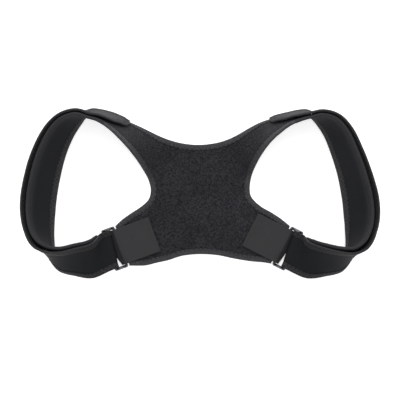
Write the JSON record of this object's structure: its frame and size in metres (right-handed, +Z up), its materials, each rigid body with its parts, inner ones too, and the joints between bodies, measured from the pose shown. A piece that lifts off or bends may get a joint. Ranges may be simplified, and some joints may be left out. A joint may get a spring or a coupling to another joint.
{
  "type": "posture corrector",
  "caption": "Black padded posture corrector laid flat: a back panel with taped edges and two shoulder loops, each joined to the panel by a plastic ring and a webbing tab.",
  "frame": {"origin": "on the surface that the part lies on, under the middle of its laid-out size", "axes": "+X to the right-hand loop as laid out with the textured face up, +Y from the hem to the neckline, +Z up off the surface"},
  "size_m": [0.4846, 0.2346, 0.059],
  "materials": {
    "loop_pile": "brushed loop knit",
    "smooth_knit": "smooth knit over foam",
    "edge_tape": "ribbed elastic tape",
    "tab_webbing": "close woven",
    "ring_plastic": "satin moulded"
  },
  "bodies": {
    "root": {"back_panel": "loop_pile", "neckline_tape": "edge_tape", "hem_tape": "edge_tape", "armhole_tape_left": "edge_tape", "armhole_tape_right": "edge_tape", "shoulder_pad_left": "smooth_knit", "shoulder_pad_right": "smooth_knit", "pad_foot_tape_left": "edge_tape", "pad_foot_tape_right": "edge_tape", "pad_rim_tape_left": "edge_tape", "pad_rim_tape_right": "edge_tape", "shoulder_strap_left": "smooth_knit", "shoulder_strap_right": "smooth_knit", "strap_foot_tape_left": "edge_tape", "strap_foot_tape_right": "edge_tape", "strap_rim_tape_left": "edge_tape", "strap_rim_tape_right": "edge_tape", "ring_left": "ring_plastic", "ring_right": "ring_plastic", "webbing_left": "tab_webbing", "webbing_right": "tab_webbing"}
  },
  "joints": []
}
